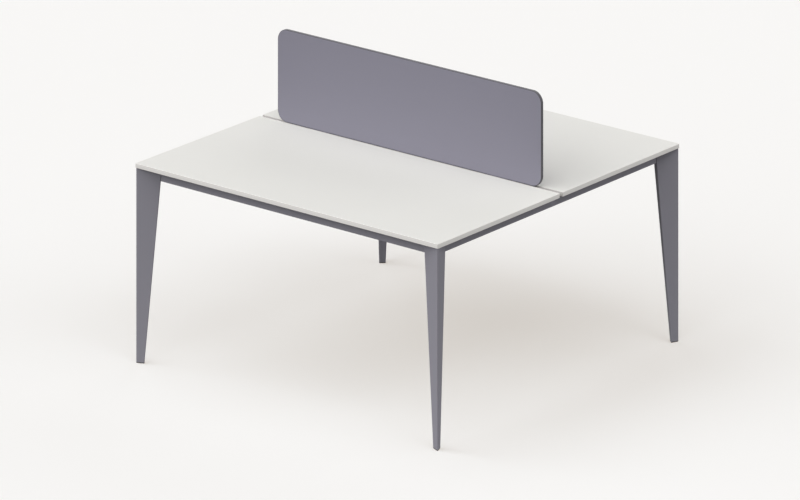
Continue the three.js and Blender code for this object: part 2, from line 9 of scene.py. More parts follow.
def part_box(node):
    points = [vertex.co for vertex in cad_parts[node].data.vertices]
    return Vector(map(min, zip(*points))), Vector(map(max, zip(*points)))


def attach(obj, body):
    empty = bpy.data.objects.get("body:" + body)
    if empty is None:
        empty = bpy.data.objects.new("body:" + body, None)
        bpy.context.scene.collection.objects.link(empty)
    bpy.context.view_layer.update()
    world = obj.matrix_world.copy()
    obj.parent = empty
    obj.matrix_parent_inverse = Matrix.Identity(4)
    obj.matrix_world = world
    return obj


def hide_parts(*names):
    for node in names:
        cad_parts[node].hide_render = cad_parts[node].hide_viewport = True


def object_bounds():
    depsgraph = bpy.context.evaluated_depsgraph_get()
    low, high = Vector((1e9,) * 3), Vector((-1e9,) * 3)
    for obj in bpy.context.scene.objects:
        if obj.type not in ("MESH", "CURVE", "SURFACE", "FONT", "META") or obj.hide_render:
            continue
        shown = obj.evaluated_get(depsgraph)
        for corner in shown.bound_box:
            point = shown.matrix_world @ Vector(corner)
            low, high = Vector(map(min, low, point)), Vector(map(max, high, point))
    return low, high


bl_info = {
    "name": "Benching Desk for Two",
    "version": (1, 0, 0),
    "blender": (4, 5, 0),
    "location": "3D View > Sidebar > Desk",
    "description": "Dresses the frame of a benching desk with finished pieces and a plain stage",
    "category": "Object",
}

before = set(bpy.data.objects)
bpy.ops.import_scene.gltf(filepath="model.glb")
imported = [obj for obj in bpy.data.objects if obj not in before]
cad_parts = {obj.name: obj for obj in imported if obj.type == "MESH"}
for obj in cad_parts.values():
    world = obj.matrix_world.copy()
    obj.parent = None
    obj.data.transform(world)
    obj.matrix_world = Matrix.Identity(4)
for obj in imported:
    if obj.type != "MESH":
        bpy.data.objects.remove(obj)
CAD_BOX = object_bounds()

# The frame's names: corners in quarter turns from the front left one, seats, ends and the fixed body
CORNERS = {"front_left": (-1, -1), "front_right": (1, -1), "rear_right": (1, 1), "rear_left": (-1, 1)}
SEATS = ("front", "rear")
ENDS = ("left", "right")
FRAME_BODY = "frame"

# Mesh settings
UP = Vector((0, 0, 1))
SAME_POINT = 1e-6
FLAT_ANGLE = math.radians(1)
SHARP_ANGLE = math.radians(35)
QUARTER_TURN = math.pi / 2
FOLD_STEPS = 6
EDGE_STEPS = 3
SCREEN_CORNER_STEPS = 16
ROUND_STEPS = 32
HEX_SIDES = 6
ROWS_PER_TURN = 6

# Heads of bolts and screws, in shares of their own radius and height
CROWN_RADIUS = 0.86
CROWN_SLOPE = 1 / math.tan(math.radians(30))
SOCKET_RADIUS = 0.5
SOCKET_LENGTH = 1.1
SHANK_OVERLAP = 0.25

# Share of its full height at which a finish shows its relief
RELIEF_STRENGTH = 0.6

# The ring of lamps: degrees from straight in front towards the right end, degrees of height, strength
RING_LAMPS = (
    (-90, 60, 0.56), (0, 30, 0.68), (45, 60, 0.76), (90, 42, 0.64), (135, 15, 0.74), (195, 20, 0.55),
)


# Values for the property groups

def srgb(red, green, blue):
    """A colour picked on a screen, from 0 to 255, as the linear values that shaders use."""
    return tuple(((value / 255 + 0.055) / 1.055) ** 2.4 for value in (red, green, blue))


def length(name, description, default):
    return FloatProperty(name=name, description=description, default=default, unit="LENGTH", precision=5)


def angle(name, description, degrees):
    return FloatProperty(name=name, description=description, default=math.radians(degrees), subtype="ANGLE")


def colour(name, description, default):
    return FloatVectorProperty(
        name=name, description=description, default=default, subtype="COLOR", min=0, max=1,
    )


def number(name, description, default):
    return FloatProperty(name=name, description=description, default=default)


class WorktopLook(bpy.types.PropertyGroup):
    """Sizes and colours of the worktops"""
    board_colour: colour("Board", "Coated face of the boards", srgb(230, 229, 225))
    band_colour: colour("Edge band", "Band round the boards", srgb(245, 242, 238))
    # Painted shade: the band's faces along the gap between the worktops get a darker colour, which stands
    # in for the shade inside the gap
    gap_shade_colour: colour("Gap band", "Greyer band on the edges along the gap", srgb(213, 210, 207))
    board_corner: length("Board corner", "Corner radius of a board under its band", 0.002)
    band_rounding: length("Band rounding", "Radius of the band's outer edges", 0.001)
    seam: length("Seam", "Chamfer on either side of the joint between board and band", 0.00015)


class FrameLook(bpy.types.PropertyGroup):
    """Sizes and colours of the legs, rails and beam"""
    paint_colour: colour("Paint", "Powder coat on the steel", srgb(154, 152, 161))
    leg_spread: angle("Leg spread", "Angle between a leg's two outer faces", 45)
    leg_top_face: length("Leg top face", "Width of a leg's outer face under the worktop", 0.102)
    leg_bottom_face: length("Leg bottom face", "Width of a leg's outer face at its lower end", 0.036)
    leg_wall: length("Leg wall", "Sheet thickness of a leg", 0.002)
    leg_fold: length("Leg fold", "Inner radius of a leg's folds", 0.0005)
    leg_setback: length("Leg setback", "From the worktop's edges to a leg's outer edge", 0.0005)
    edge_bevel: length("Edge bevel", "Rounding of the steel's cut edges", 0.0003)


class FootLook(bpy.types.PropertyGroup):
    """Sizes and colours of the end caps and the levelling feet"""
    plastic_colour: colour("Plastic", "Moulded plastic of the caps and pads", srgb(72, 72, 76))
    cap_clearance: length("Cap clearance", "Between a cap's plug and its leg", 0.0003)
    rounding: length("Rounding", "Radius of the caps' and pads' edges", 0.0006)
    stud_radius: length("Stud radius", "Outer radius of a foot's thread", 0.003)
    thread_pitch: length("Thread pitch", "Rise of the thread in one turn", 0.001)
    thread_depth: length("Thread depth", "From the thread's crest to its root", 0.0003)
    pad_height: length("Pad height", "Thickness of a foot's pad", 0.003)


class ScreenLook(bpy.types.PropertyGroup):
    """Sizes and colours of the screen"""
    panel_colour: colour("Panel", "Laminate on the screen's faces", srgb(143, 141, 154))
    trim_colour: colour("Trim", "Edge trim round the screen", srgb(101, 100, 105))
    trim_corner: length("Trim corner", "Outer corner radius of the trim", 0.042)
    trim_rounding: length("Trim rounding", "Radius of the trim's outer edges", 0.0012)
    slot_clearance: length("Slot clearance", "Round a post's blade in the screen", 0.0003)
    seam: length("Seam", "Chamfer on either side of the joint between panel and trim", 0.00015)


class FixingLook(bpy.types.PropertyGroup):
    """Sizes and colours of the brackets, bolts and screws"""
    zinc_colour: colour("Zinc", "Bright plating", srgb(205, 207, 210))
    zinc_shade: colour("Zinc shade", "Warmer patches of the plating", srgb(196, 192, 180))
    sheet_bevel: length("Sheet bevel", "Rounding of pressed and sawn edges", 0.0004)
    screw_head_radius: length("Screw head radius", "Pan head of the screws", 0.0045)
    screw_head: length("Screw head", "Height of a screw's head", 0.003)
    screw_radius: length("Screw radius", "Shank of the screws", 0.00225)
    leg_bolt_head_radius: length("Leg bolt head radius", "Over the corners of the hexagon", 0.0075)
    leg_bolt_head: length("Leg bolt head", "Height of a leg bolt's head", 0.0055)
    leg_bolt_radius: length("Leg bolt radius", "Shank of the leg bolts", 0.004)
    hanger_bolt_head_radius: length("Hanger bolt head radius", "Over the corners of the hexagon", 0.0058)
    hanger_bolt_head: length("Hanger bolt head", "Height of a hanger bolt's head", 0.004)
    hanger_bolt_radius: length("Hanger bolt radius", "Shank of the hanger bolts", 0.003)
    round_sides: IntProperty(name="Round sides", description="Sides of a pan head", default=ROUND_STEPS)
    hex_sides: IntProperty(name="Hexagon sides", description="Sides of a bolt's head", default=HEX_SIDES)


class StageLook(bpy.types.PropertyGroup):
    """Floor, light and camera"""
    floor_colour: colour("Floor", "Paper that takes light and shadow, as it is seen", srgb(186, 193, 200))
    bounce_colour: colour("Bounce", "The same paper where it lights other things", srgb(157, 157, 156))
    bounce_reach: length("Bounce reach", "From the desk's middle to where the light starts to fade", 1.2)
    bounce_end: length("Bounce end", "From the desk's middle to where the light ends", 4.0)
    floor_glow: colour("Floor glow", "Light that the paper seems to give off", srgb(177, 167, 155))
    backdrop_colour: colour("Backdrop", "Plain pale backdrop", srgb(247, 247, 246))
    floor_width: length("Floor width", "Side of the square floor", 80)
    sky_strength: number("Sky", "Strength of the even light from all round", 0.04)
    lamp_softness: angle("Lamp width", "Angle that a lamp of the ring fills", 40)
    key_strength: number("Key", "Strength of the wide lamp", 1.5)
    key_softness: angle("Key width", "Angle that the wide lamp fills", 60)
    key_azimuth: angle("Key azimuth", "From straight in front towards the right end", -45)
    key_elevation: angle("Key elevation", "Height of the wide lamp", 32)
    view_azimuth: angle("View azimuth", "From straight in front towards the right end", 38.8919)
    eye_distance: length("Eye distance", "From the desk's middle to the eye, over the floor", 24.6845)
    eye_aside: length("Eye aside", "The desk's middle to the right of the line of sight", 0.03096)
    eye_height: length("Eye height", "Eye above the floor", 8.6448)
    focal_pixels: number("Focal length", "In pixels of the picture", 6797.6)
    horizon_row: number("Horizon row", "Row of the horizon, in pixels below the picture's top", -2028.44)
    picture_width: number("Picture width", "In pixels", 800)
    picture_height: number("Picture height", "In pixels", 500)


# Outlines and meshes

def rounded_outline(corners, radius, steps):
    """A convex outline, listed anticlockwise, with every corner rounded to one radius."""
    points = []
    for i, corner in enumerate(corners):
        back = (corners[i - 1] - corner).normalized()
        ahead = (corners[(i + 1) % len(corners)] - corner).normalized()
        half = back.angle(ahead) / 2
        centre = corner + (back + ahead).normalized() * (radius / math.sin(half))
        start = corner + back * (radius / math.tan(half)) - centre
        for step in range(steps + 1):
            turn = Matrix.Rotation((math.pi - 2 * half) * step / steps, 2)
            points.append(centre + turn @ start)
    return points


def rounded_rectangle(low, high, inset, radius, steps):
    left, bottom = low.x + inset, low.y + inset
    right, top = high.x - inset, high.y - inset
    corners = [Vector(point) for point in ((left, bottom), (right, bottom), (right, top), (left, top))]
    return rounded_outline(corners, radius - inset, steps)


def edge_section(low, high, rounding):
    """(inset, height) pairs up the outside of a slab whose two edges are rounded."""
    turns = [QUARTER_TURN * step / EDGE_STEPS for step in range(EDGE_STEPS + 1)]
    lower = [(rounding * (1 - math.sin(a)), low + rounding * (1 - math.cos(a))) for a in turns]
    upper = [(rounding * (1 - math.cos(a)), high - rounding * (1 - math.sin(a))) for a in turns]
    return lower + upper


def band_section(low, high, rounding, width, seam):
    """(inset, height) pairs round a band that has a small chamfer at the joint with its board."""
    inner = [(width - seam, high), (width, high - seam), (width, low + seam), (width - seam, low)]
    return edge_section(low, high, rounding) + inner


def new_piece(name, mesh):
    piece = bpy.data.objects.new(name, mesh)
    bpy.context.scene.collection.objects.link(piece)
    return piece


def ring_piece(name, rings, closed):
    """Skins rings of equal counts, and either joins the last ring to the first or caps both ends."""
    shell = bmesh.new()
    loops = [[shell.verts.new(point) for point in ring] for ring in rings]
    pairs = list(zip(loops, loops[1:]))
    if closed:
        pairs.append((loops[-1], loops[0]))
    else:
        shell.faces.new(loops[0])
        shell.faces.new(loops[-1])
    for lower, upper in pairs:
        for k in range(len(lower)):
            shell.faces.new((lower[k - 1], lower[k], upper[k], upper[k - 1]))
    bmesh.ops.recalc_face_normals(shell, faces=shell.faces)
    mesh = bpy.data.meshes.new(name)
    shell.to_mesh(mesh)
    shell.free()
    return new_piece(name, mesh)


def dressed_copy(node, name, bevel):
    """A merged copy of a frame node, with its cut edges slightly rounded."""
    shell = bmesh.new()
    shell.from_mesh(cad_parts[node].data)
    bmesh.ops.remove_doubles(shell, verts=shell.verts, dist=SAME_POINT)
    bmesh.ops.dissolve_limit(shell, angle_limit=FLAT_ANGLE, verts=shell.verts, edges=shell.edges)
    mesh = bpy.data.meshes.new(name)
    shell.to_mesh(mesh)
    shell.free()
    piece = new_piece(name, mesh)
    rounding = piece.modifiers.new("rounded_edges", "BEVEL")
    rounding.width = bevel
    rounding.segments = 2
    rounding.limit_method = "ANGLE"
    rounding.angle_limit = SHARP_ANGLE
    return piece


def block_piece(name, low, high):
    corners = [Vector(point) for point in (low.xy, (high.x, low.y), high.xy, (low.x, high.y))]
    rings = [[corner.to_3d() + UP * height for corner in corners] for height in (low.z, high.z)]
    return ring_piece(name, rings, closed=False)


def made_plain(piece):
    """Turns what a piece's modifiers give into its own mesh."""
    result = piece.evaluated_get(bpy.context.evaluated_depsgraph_get())
    mesh = bpy.data.meshes.new_from_object(result)
    old = piece.data
    piece.modifiers.clear()
    piece.data = mesh
    bpy.data.meshes.remove(old)


def carve(piece, cutters):
    for cutter in cutters:
        cutting = piece.modifiers.new("slot", "BOOLEAN")
        cutting.operation = "DIFFERENCE"
        cutting.solver = "EXACT"
        cutting.object = cutter
    made_plain(piece)
    for cutter in cutters:
        bpy.data.meshes.remove(cutter.data)


def settle(piece, body, nodes):
    """Evens out the shading of a finished piece and ties it to the frame."""
    piece.data.shade_smooth()
    piece.data.set_sharp_from_angle(angle=SHARP_ANGLE)
    evening = piece.modifiers.new("even_shading", "WEIGHTED_NORMAL")
    evening.keep_sharp = True
    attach(piece, body)
    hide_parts(*nodes)


def node_points(node):
    return [vertex.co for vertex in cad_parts[node].data.vertices]


def span(node, direction):
    """Lowest and highest place of a frame node along a direction."""
    places = [point.dot(direction) for point in node_points(node)]
    return min(places), max(places)


# Finishes

def put(tree, kind, **settings):
    node = tree.nodes.new(kind)
    for name, value in settings.items():
        setattr(node, name, value)
    return node


def feed(tree, socket, source):
    """Links a socket to an output, or sets it to a plain value."""
    if isinstance(source, bpy.types.NodeSocket):
        tree.links.new(source, socket)
    else:
        socket.default_value = source


def calculate(tree, operation, first, second):
    node = put(tree, "ShaderNodeMath", operation=operation)
    feed(tree, node.inputs[0], first)
    feed(tree, node.inputs[1], second)
    return node.outputs[0]


def noise_at(tree, position, size, detail):
    """Even noise from 0 to 1 whose grains are about one size across."""
    scaled = put(tree, "ShaderNodeVectorMath", operation="SCALE")
    feed(tree, scaled.inputs[0], position)
    feed(tree, scaled.inputs["Scale"], calculate(tree, "DIVIDE", 1.0, size))
    noise = put(tree, "ShaderNodeTexNoise")
    noise.inputs["Scale"].default_value = 1
    noise.inputs["Detail"].default_value = detail
    feed(tree, noise.inputs["Vector"], scaled.outputs[0])
    return noise.outputs["Fac"]


def grain_group():
    """Fine grain and broad patches that every finish shares, each with its own sizes and amounts."""
    tree = bpy.data.node_groups.new("finish_grain", "ShaderNodeTree")
    sockets = {
        "Position": "NodeSocketVector", "Stretch": "NodeSocketVector",
        "Grain Size": "NodeSocketFloat", "Patch Size": "NodeSocketFloat",
        "Tone": "NodeSocketColor", "Second Tone": "NodeSocketColor", "Grain Shade": "NodeSocketFloat",
        "Roughness": "NodeSocketFloat", "Roughness Drift": "NodeSocketFloat",
    }
    for name, kind in sockets.items():
        tree.interface.new_socket(name, in_out="INPUT", socket_type=kind)
    results = {"Colour": "NodeSocketColor", "Roughness": "NodeSocketFloat", "Height": "NodeSocketFloat"}
    for name, kind in results.items():
        tree.interface.new_socket(name, in_out="OUTPUT", socket_type=kind)
    given = put(tree, "NodeGroupInput").outputs
    result = put(tree, "NodeGroupOutput").inputs

    stretched = put(tree, "ShaderNodeVectorMath", operation="MULTIPLY")
    feed(tree, stretched.inputs[0], given["Position"])
    feed(tree, stretched.inputs[1], given["Stretch"])
    grain = noise_at(tree, stretched.outputs[0], given["Grain Size"], detail=2)
    patch = noise_at(tree, given["Position"], given["Patch Size"], detail=3)

    blend = put(tree, "ShaderNodeMix", data_type="RGBA")
    feed(tree, blend.inputs["Factor"], patch)
    feed(tree, blend.inputs["A"], given["Tone"])
    feed(tree, blend.inputs["B"], given["Second Tone"])
    centred = calculate(tree, "SUBTRACT", grain, 0.5)
    shade = calculate(tree, "ADD", calculate(tree, "MULTIPLY", centred, given["Grain Shade"]), 1.0)
    shaded = put(tree, "ShaderNodeVectorMath", operation="SCALE")
    feed(tree, shaded.inputs[0], blend.outputs["Result"])
    feed(tree, shaded.inputs["Scale"], shade)
    drift = calculate(tree, "MULTIPLY", calculate(tree, "SUBTRACT", patch, 0.5), given["Roughness Drift"])

    feed(tree, result["Colour"], shaded.outputs[0])
    feed(tree, result["Roughness"], calculate(tree, "ADD", given["Roughness"], drift))
    feed(tree, result["Height"], grain)
    return tree


def finish(name, grain, relief, metallic=0.0, specular=0.15):
    """A material whose colour, roughness and relief come from the shared grain."""
    material = bpy.data.materials.get(name)
    if material:
        return material
    material = bpy.data.materials.new(name)
    material.use_nodes = True
    tree = material.node_tree
    shader = tree.nodes["Principled BSDF"]
    shader.inputs["Metallic"].default_value = metallic
    shader.inputs["Specular IOR Level"].default_value = specular
    group = put(tree, "ShaderNodeGroup")
    group.node_tree = bpy.data.node_groups.get("finish_grain") or grain_group()
    for socket, value in grain.items():
        group.inputs[socket].default_value = value
    place = put(tree, "ShaderNodeTexCoord")
    bump = put(tree, "ShaderNodeBump")
    bump.inputs["Strength"].default_value = RELIEF_STRENGTH
    bump.inputs["Distance"].default_value = relief
    feed(tree, group.inputs["Position"], place.outputs["Object"])
    feed(tree, bump.inputs["Height"], group.outputs["Height"])
    feed(tree, shader.inputs["Base Color"], group.outputs["Colour"])
    feed(tree, shader.inputs["Roughness"], group.outputs["Roughness"])
    feed(tree, shader.inputs["Normal"], bump.outputs["Normal"])
    return material


def grain_values(tone, second, size, patch, shade, roughness, drift, stretch=(1, 1, 1)):
    return {
        "Stretch": stretch, "Grain Size": size, "Patch Size": patch,
        "Tone": (*tone, 1), "Second Tone": (*second, 1), "Grain Shade": shade,
        "Roughness": roughness, "Roughness Drift": drift,
    }


def darker(tone, share):
    return tuple(value * (1 - share) for value in tone)


def melamine(look):
    tone = look.board_colour
    return finish("melamine", grain_values(
        tone, darker(tone, 0.015), size=0.0011, patch=0.25, shade=0.02, roughness=0.60, drift=0.05,
    ), relief=0.00004, specular=0.05)


def edge_banding(name, tone):
    """Extruded band with faint lines along its length."""
    return finish(name, grain_values(
        tone, darker(tone, 0.02), size=0.0012, patch=0.12, shade=0.025, roughness=0.40, drift=0.05,
        stretch=(0.02, 0.02, 3),
    ), relief=0.00002)


def powder_coat(look):
    """Matt paint with the slight ripple of a baked powder."""
    tone = look.paint_colour
    return finish("powder_coat", grain_values(
        tone, darker(tone, 0.03), size=0.0014, patch=0.15, shade=0.05, roughness=0.70, drift=0.06,
    ), relief=0.00006, specular=0.0)


def screen_laminate(look):
    tone = look.panel_colour
    return finish("screen_laminate", grain_values(
        tone, darker(tone, 0.025), size=0.0009, patch=0.3, shade=0.05, roughness=0.62, drift=0.05,
    ), relief=0.00005)


def trim_plastic(look):
    tone = look.trim_colour
    return finish("trim_plastic", grain_values(
        tone, darker(tone, 0.04), size=0.0008, patch=0.1, shade=0.05, roughness=0.48, drift=0.06,
    ), relief=0.00003)


def moulded_plastic(look):
    tone = look.plastic_colour
    return finish("moulded_plastic", grain_values(
        tone, darker(tone, 0.08), size=0.0005, patch=0.02, shade=0.12, roughness=0.55, drift=0.10,
    ), relief=0.00005)


def zinc_plate(look):
    return finish("zinc_plate", grain_values(
        look.zinc_colour, look.zinc_shade, size=0.0007, patch=0.012, shade=0.06, roughness=0.34, drift=0.18,
    ), relief=0.00002, metallic=1.0, specular=0.5)


# Worktops

def flat_rings(low, high, corner, section):
    """Rings of a lying slab or band, from (inset, height) pairs."""
    return [
        [point.to_3d() + UP * height for point in rounded_rectangle(low, high, inset, corner, FOLD_STEPS)]
        for inset, height in section
    ]


class MakeWorktops(bpy.types.Operator):
    """Makes both boards and the bands round their edges"""
    bl_idname = "desk.make_worktops"
    bl_label = "Worktops"

    def execute(self, context):
        look = context.scene.desk_worktops
        for seat in SEATS:
            node = f"{seat}_worktop"
            low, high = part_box(node)
            section = edge_section(low.z, high.z, look.seam)
            rings = flat_rings(low, high, look.board_corner, section)
            board = ring_piece(f"{seat}_board", rings, closed=False)
            board.data.materials.append(melamine(look))
            settle(board, FRAME_BODY, [node])

            node = f"{seat}_worktop_edge_band"
            low_band, high_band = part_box(node)
            width = low.x - low_band.x
            section = band_section(low.z, high.z, look.band_rounding, width, look.seam)
            rings = flat_rings(low_band, high_band, look.board_corner + width, section)
            band = ring_piece(f"{seat}_band", rings, closed=True)
            band.data.materials.append(edge_banding("edge_banding", look.band_colour))
            # Painted shade: the band's faces that look into the gap take the darker copy of the band
            # instead of real shade there
            band.data.materials.append(edge_banding("gap_painted_shade_banding", look.gap_shade_colour))
            gap_side = min(abs(low_band.y), abs(high_band.y)) + look.band_rounding
            for face in band.data.polygons:
                face.material_index = int(abs(face.center.y) < gap_side)
            settle(band, FRAME_BODY, [node])
        return {"FINISHED"}


# Legs

def corner_place(corner, setback):
    """A corner's own frame: its origin is the leg's outer edge, and the rails run along +X and +Y."""
    x, y = CORNERS[corner]
    worktop_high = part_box("rear_worktop_edge_band")[1]
    place = Vector((x * (worktop_high.x - setback), y * (worktop_high.y - setback), 0))
    turn = list(CORNERS).index(corner) * QUARTER_TURN
    return Matrix.Translation(place) @ Matrix.Rotation(turn, 4, "Z")


def wedge_outline(look, face, offset, fold):
    """A leg's section with its three faces moved outwards by an offset."""
    half = look.leg_spread / 2
    back = offset / math.sin(half)
    extra = (offset + back) / math.cos(half)
    edge = Vector((1, 1)).normalized() * -back
    rims = [
        edge + Matrix.Rotation(math.pi / 4 + side * half, 2) @ Vector((face + extra, 0))
        for side in (-1, 1)
    ]
    return rounded_outline([edge, *rims], fold, FOLD_STEPS)


def wedge_ring(look, corner, z, offset, fold):
    low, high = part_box(f"{corner}_leg")
    climbed = (z - low.z) / (high.z - low.z)
    face = look.leg_bottom_face + (look.leg_top_face - look.leg_bottom_face) * climbed
    place = corner_place(corner, look.leg_setback)
    return [place @ (point.to_3d() + UP * z) for point in wedge_outline(look, face, offset, fold)]


class MakeLegs(bpy.types.Operator):
    """Makes the four folded legs"""
    bl_idname = "desk.make_legs"
    bl_label = "Legs"

    def execute(self, context):
        look = context.scene.desk_frame
        outer_fold = look.leg_fold + look.leg_wall
        for corner in CORNERS:
            low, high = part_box(f"{corner}_leg")
            outside = [wedge_ring(look, corner, z, 0, outer_fold) for z in (low.z, high.z)]
            inside = [wedge_ring(look, corner, z, -look.leg_wall, look.leg_fold) for z in (high.z, low.z)]
            leg = ring_piece(f"{corner}_folded_leg", outside + inside, closed=True)
            leg.data.materials.append(powder_coat(look))
            settle(leg, FRAME_BODY, [f"{corner}_leg"])
        return {"FINISHED"}


# Rails, beam and screen posts

class MakeRails(bpy.types.Operator):
    """Makes the four rails, the centre beam and the screen posts"""
    bl_idname = "desk.make_rails"
    bl_label = "Rails and Beam"

    def execute(self, context):
        look = context.scene.desk_frame
        tubes = [f"{seat}_rail" for seat in SEATS] + [f"{end}_end_rail" for end in ENDS] + ["centre_beam"]
        posts = [f"{end}_screen_post" for end in ENDS]
        names = {node: f"{node}_tube" for node in tubes} | {node: f"{node}_block" for node in posts}
        for node, name in names.items():
            piece = dressed_copy(node, name, look.edge_bevel)
            piece.data.materials.append(powder_coat(look))
            settle(piece, FRAME_BODY, [node])
        return {"FINISHED"}


# Brackets, nuts and hangers

class MakeBrackets(bpy.types.Operator):
    """Makes the corner brackets, the nut blocks in the legs and the beam hangers"""
    bl_idname = "desk.make_brackets"
    bl_label = "Brackets"

    def execute(self, context):
        look = context.scene.desk_fixings
        nodes = [f"{corner}_{piece}" for corner in CORNERS for piece in ("corner_bracket", "leg_nut")]
        nodes += [f"{end}_beam_hanger" for end in ENDS]
        for node in nodes:
            piece = dressed_copy(node, f"{node}_plated", look.sheet_bevel)
            piece.data.materials.append(zinc_plate(look))
            settle(piece, FRAME_BODY, [node])
        return {"FINISHED"}


# Bolts and screws

def fixing_tree():
    """Bolts or screws on points, each facing the way its point's attribute says."""
    tree = bpy.data.node_groups.new("fixings", "GeometryNodeTree")
    tree.interface.new_socket("Geometry", in_out="INPUT", socket_type="NodeSocketGeometry")
    tree.interface.new_socket("Geometry", in_out="OUTPUT", socket_type="NodeSocketGeometry")
    for name in ("Head Radius", "Head Height", "Shank Radius", "Shank Length"):
        tree.interface.new_socket(name, in_out="INPUT", socket_type="NodeSocketFloat")
    tree.interface.new_socket("Head Sides", in_out="INPUT", socket_type="NodeSocketInt")
    tree.interface.new_socket("Material", in_out="INPUT", socket_type="NodeSocketMaterial")
    given = put(tree, "NodeGroupInput").outputs

    def prism(sides, radius, depth, middle):
        node = put(tree, "GeometryNodeMeshCylinder")
        feed(tree, node.inputs["Vertices"], sides)
        feed(tree, node.inputs["Radius"], radius)
        feed(tree, node.inputs["Depth"], depth)
        return moved(node.outputs["Mesh"], middle)

    def moved(geometry, height):
        offset = put(tree, "ShaderNodeCombineXYZ")
        feed(tree, offset.inputs["Z"], height)
        node = put(tree, "GeometryNodeTransform")
        feed(tree, node.inputs["Geometry"], geometry)
        feed(tree, node.inputs["Translation"], offset.outputs[0])
        return node.outputs["Geometry"]

    def times(value, factor):
        return calculate(tree, "MULTIPLY", value, factor)

    def boolean(operation, *geometries):
        node = put(tree, "GeometryNodeMeshBoolean", operation=operation, solver="EXACT")
        *firsts, last = geometries
        for geometry in firsts:
            feed(tree, node.inputs["Mesh 1" if operation == "DIFFERENCE" else "Mesh 2"], geometry)
        feed(tree, node.inputs["Mesh 2"], last)
        return node.outputs["Mesh"]

    head_radius, head_height = given["Head Radius"], given["Head Height"]
    blank = prism(given["Head Sides"], head_radius, head_height, times(head_height, -0.5))
    crown = put(tree, "GeometryNodeMeshCone")
    crown.inputs["Vertices"].default_value = ROUND_STEPS
    crown_radius = times(head_radius, CROWN_RADIUS)
    wide_radius = calculate(tree, "ADD", crown_radius, times(head_height, CROWN_SLOPE))
    feed(tree, crown.inputs["Radius Bottom"], crown_radius)
    feed(tree, crown.inputs["Radius Top"], wide_radius)
    feed(tree, crown.inputs["Depth"], head_height)
    chamfer = moved(crown.outputs["Mesh"], times(head_height, -1.0))
    head = boolean("INTERSECT", blank, chamfer)

    shank_length = calculate(tree, "ADD", given["Shank Length"], times(head_height, SHANK_OVERLAP))
    shank_middle = calculate(tree, "SUBTRACT", given["Shank Length"], times(shank_length, 0.5))
    shank = prism(ROUND_STEPS, given["Shank Radius"], shank_length, shank_middle)
    socket_radius = times(head_radius, SOCKET_RADIUS)
    socket = prism(HEX_SIDES, socket_radius, times(head_height, SOCKET_LENGTH), times(head_height, -1.0))
    fixing = boolean("DIFFERENCE", boolean("UNION", head, shank), socket)

    facing = put(tree, "GeometryNodeInputNamedAttribute", data_type="FLOAT_VECTOR")
    facing.inputs["Name"].default_value = "facing"
    turn = put(tree, "FunctionNodeAlignRotationToVector", axis="Z")
    feed(tree, turn.inputs["Vector"], facing.outputs["Attribute"])
    copies = put(tree, "GeometryNodeInstanceOnPoints")
    feed(tree, copies.inputs["Points"], given["Geometry"])
    feed(tree, copies.inputs["Instance"], fixing)
    feed(tree, copies.inputs["Rotation"], turn.outputs["Rotation"])
    real = put(tree, "GeometryNodeRealizeInstances")
    feed(tree, real.inputs["Geometry"], copies.outputs["Instances"])
    painted = put(tree, "GeometryNodeSetMaterial")
    feed(tree, painted.inputs["Geometry"], real.outputs["Geometry"])
    feed(tree, painted.inputs["Material"], given["Material"])
    feed(tree, put(tree, "NodeGroupOutput").inputs["Geometry"], painted.outputs["Geometry"])
    return tree


def fixing_axis(node, facing):
    """The end of a fixing's head, on its axis, and the whole length, for a way that it faces."""
    across = facing.orthogonal().normalized()
    over = facing.cross(across)
    start, end = span(node, facing)
    middle = across * (sum(span(node, across)) / 2) + over * (sum(span(node, over)) / 2)
    return middle + facing * start, end - start


def fixings(name, facings, sizes, material):
    """One piece for all fixings of a size. facings gives the way that each node's fixing points."""
    seats = bpy.data.meshes.new(name)
    starts = {node: fixing_axis(node, facing) for node, facing in facings.items()}
    places = [starts[node][0] + facing * sizes["Head Height"] for node, facing in facings.items()]
    seats.from_pydata(places, [], [])
    ways = seats.attributes.new("facing", "FLOAT_VECTOR", "POINT")
    ways.data.foreach_set("vector", [value for facing in facings.values() for value in facing])
    piece = new_piece(name, seats)
    making = piece.modifiers.new("fixings", "NODES")
    making.node_group = bpy.data.node_groups.get("fixings") or fixing_tree()
    total = next(iter(starts.values()))[1]
    values = {**sizes, "Shank Length": total - sizes["Head Height"], "Material": material}
    for item in making.node_group.interface.items_tree:
        if item.in_out == "INPUT" and item.name in values:
            making[item.identifier] = values[item.name]
    made_plain(piece)
    settle(piece, FRAME_BODY, list(facings))


class MakeFixings(bpy.types.Operator):
    """Makes the screws from below and the bolts in the corners and hangers"""
    bl_idname = "desk.make_fixings"
    bl_label = "Bolts and Screws"

    def execute(self, context):
        look = context.scene.desk_fixings
        zinc = zinc_plate(look)
        screw = {
            "Head Radius": look.screw_head_radius, "Head Height": look.screw_head,
            "Shank Radius": look.screw_radius, "Head Sides": look.round_sides,
        }
        leg_bolt = {
            "Head Radius": look.leg_bolt_head_radius, "Head Height": look.leg_bolt_head,
            "Shank Radius": look.leg_bolt_radius, "Head Sides": look.hex_sides,
        }
        hanger_bolt = {
            "Head Radius": look.hanger_bolt_head_radius, "Head Height": look.hanger_bolt_head,
            "Shank Radius": look.hanger_bolt_radius, "Head Sides": look.hex_sides,
        }
        worktop = [f"{seat}_worktop_screw_{i}" for seat in SEATS for i in (1, 2, 3, 4)]
        posts = [f"{post}_screen_post_{side}_screw" for post in ENDS for side in ENDS]
        hangers = [f"{end}_hanger_screw" for end in ENDS]
        for name, nodes in (("worktop", worktop), ("post", posts), ("hanger", hangers)):
            fixings(f"{name}_screws", {node: UP for node in nodes}, screw, zinc)
        outward = {
            f"{corner}_leg_bolt": Vector((x, y, 0)).normalized()
            for corner, (x, y) in CORNERS.items()
        }
        fixings("leg_bolts", outward, leg_bolt, zinc)
        endward = {
            f"{end}_hanger_{seat}_bolt": Vector((side, 0, 0))
            for end, side in zip(ENDS, (-1, 1)) for seat in SEATS
        }
        fixings("hanger_bolts", endward, hanger_bolt, zinc)
        return {"FINISHED"}


# End caps and feet

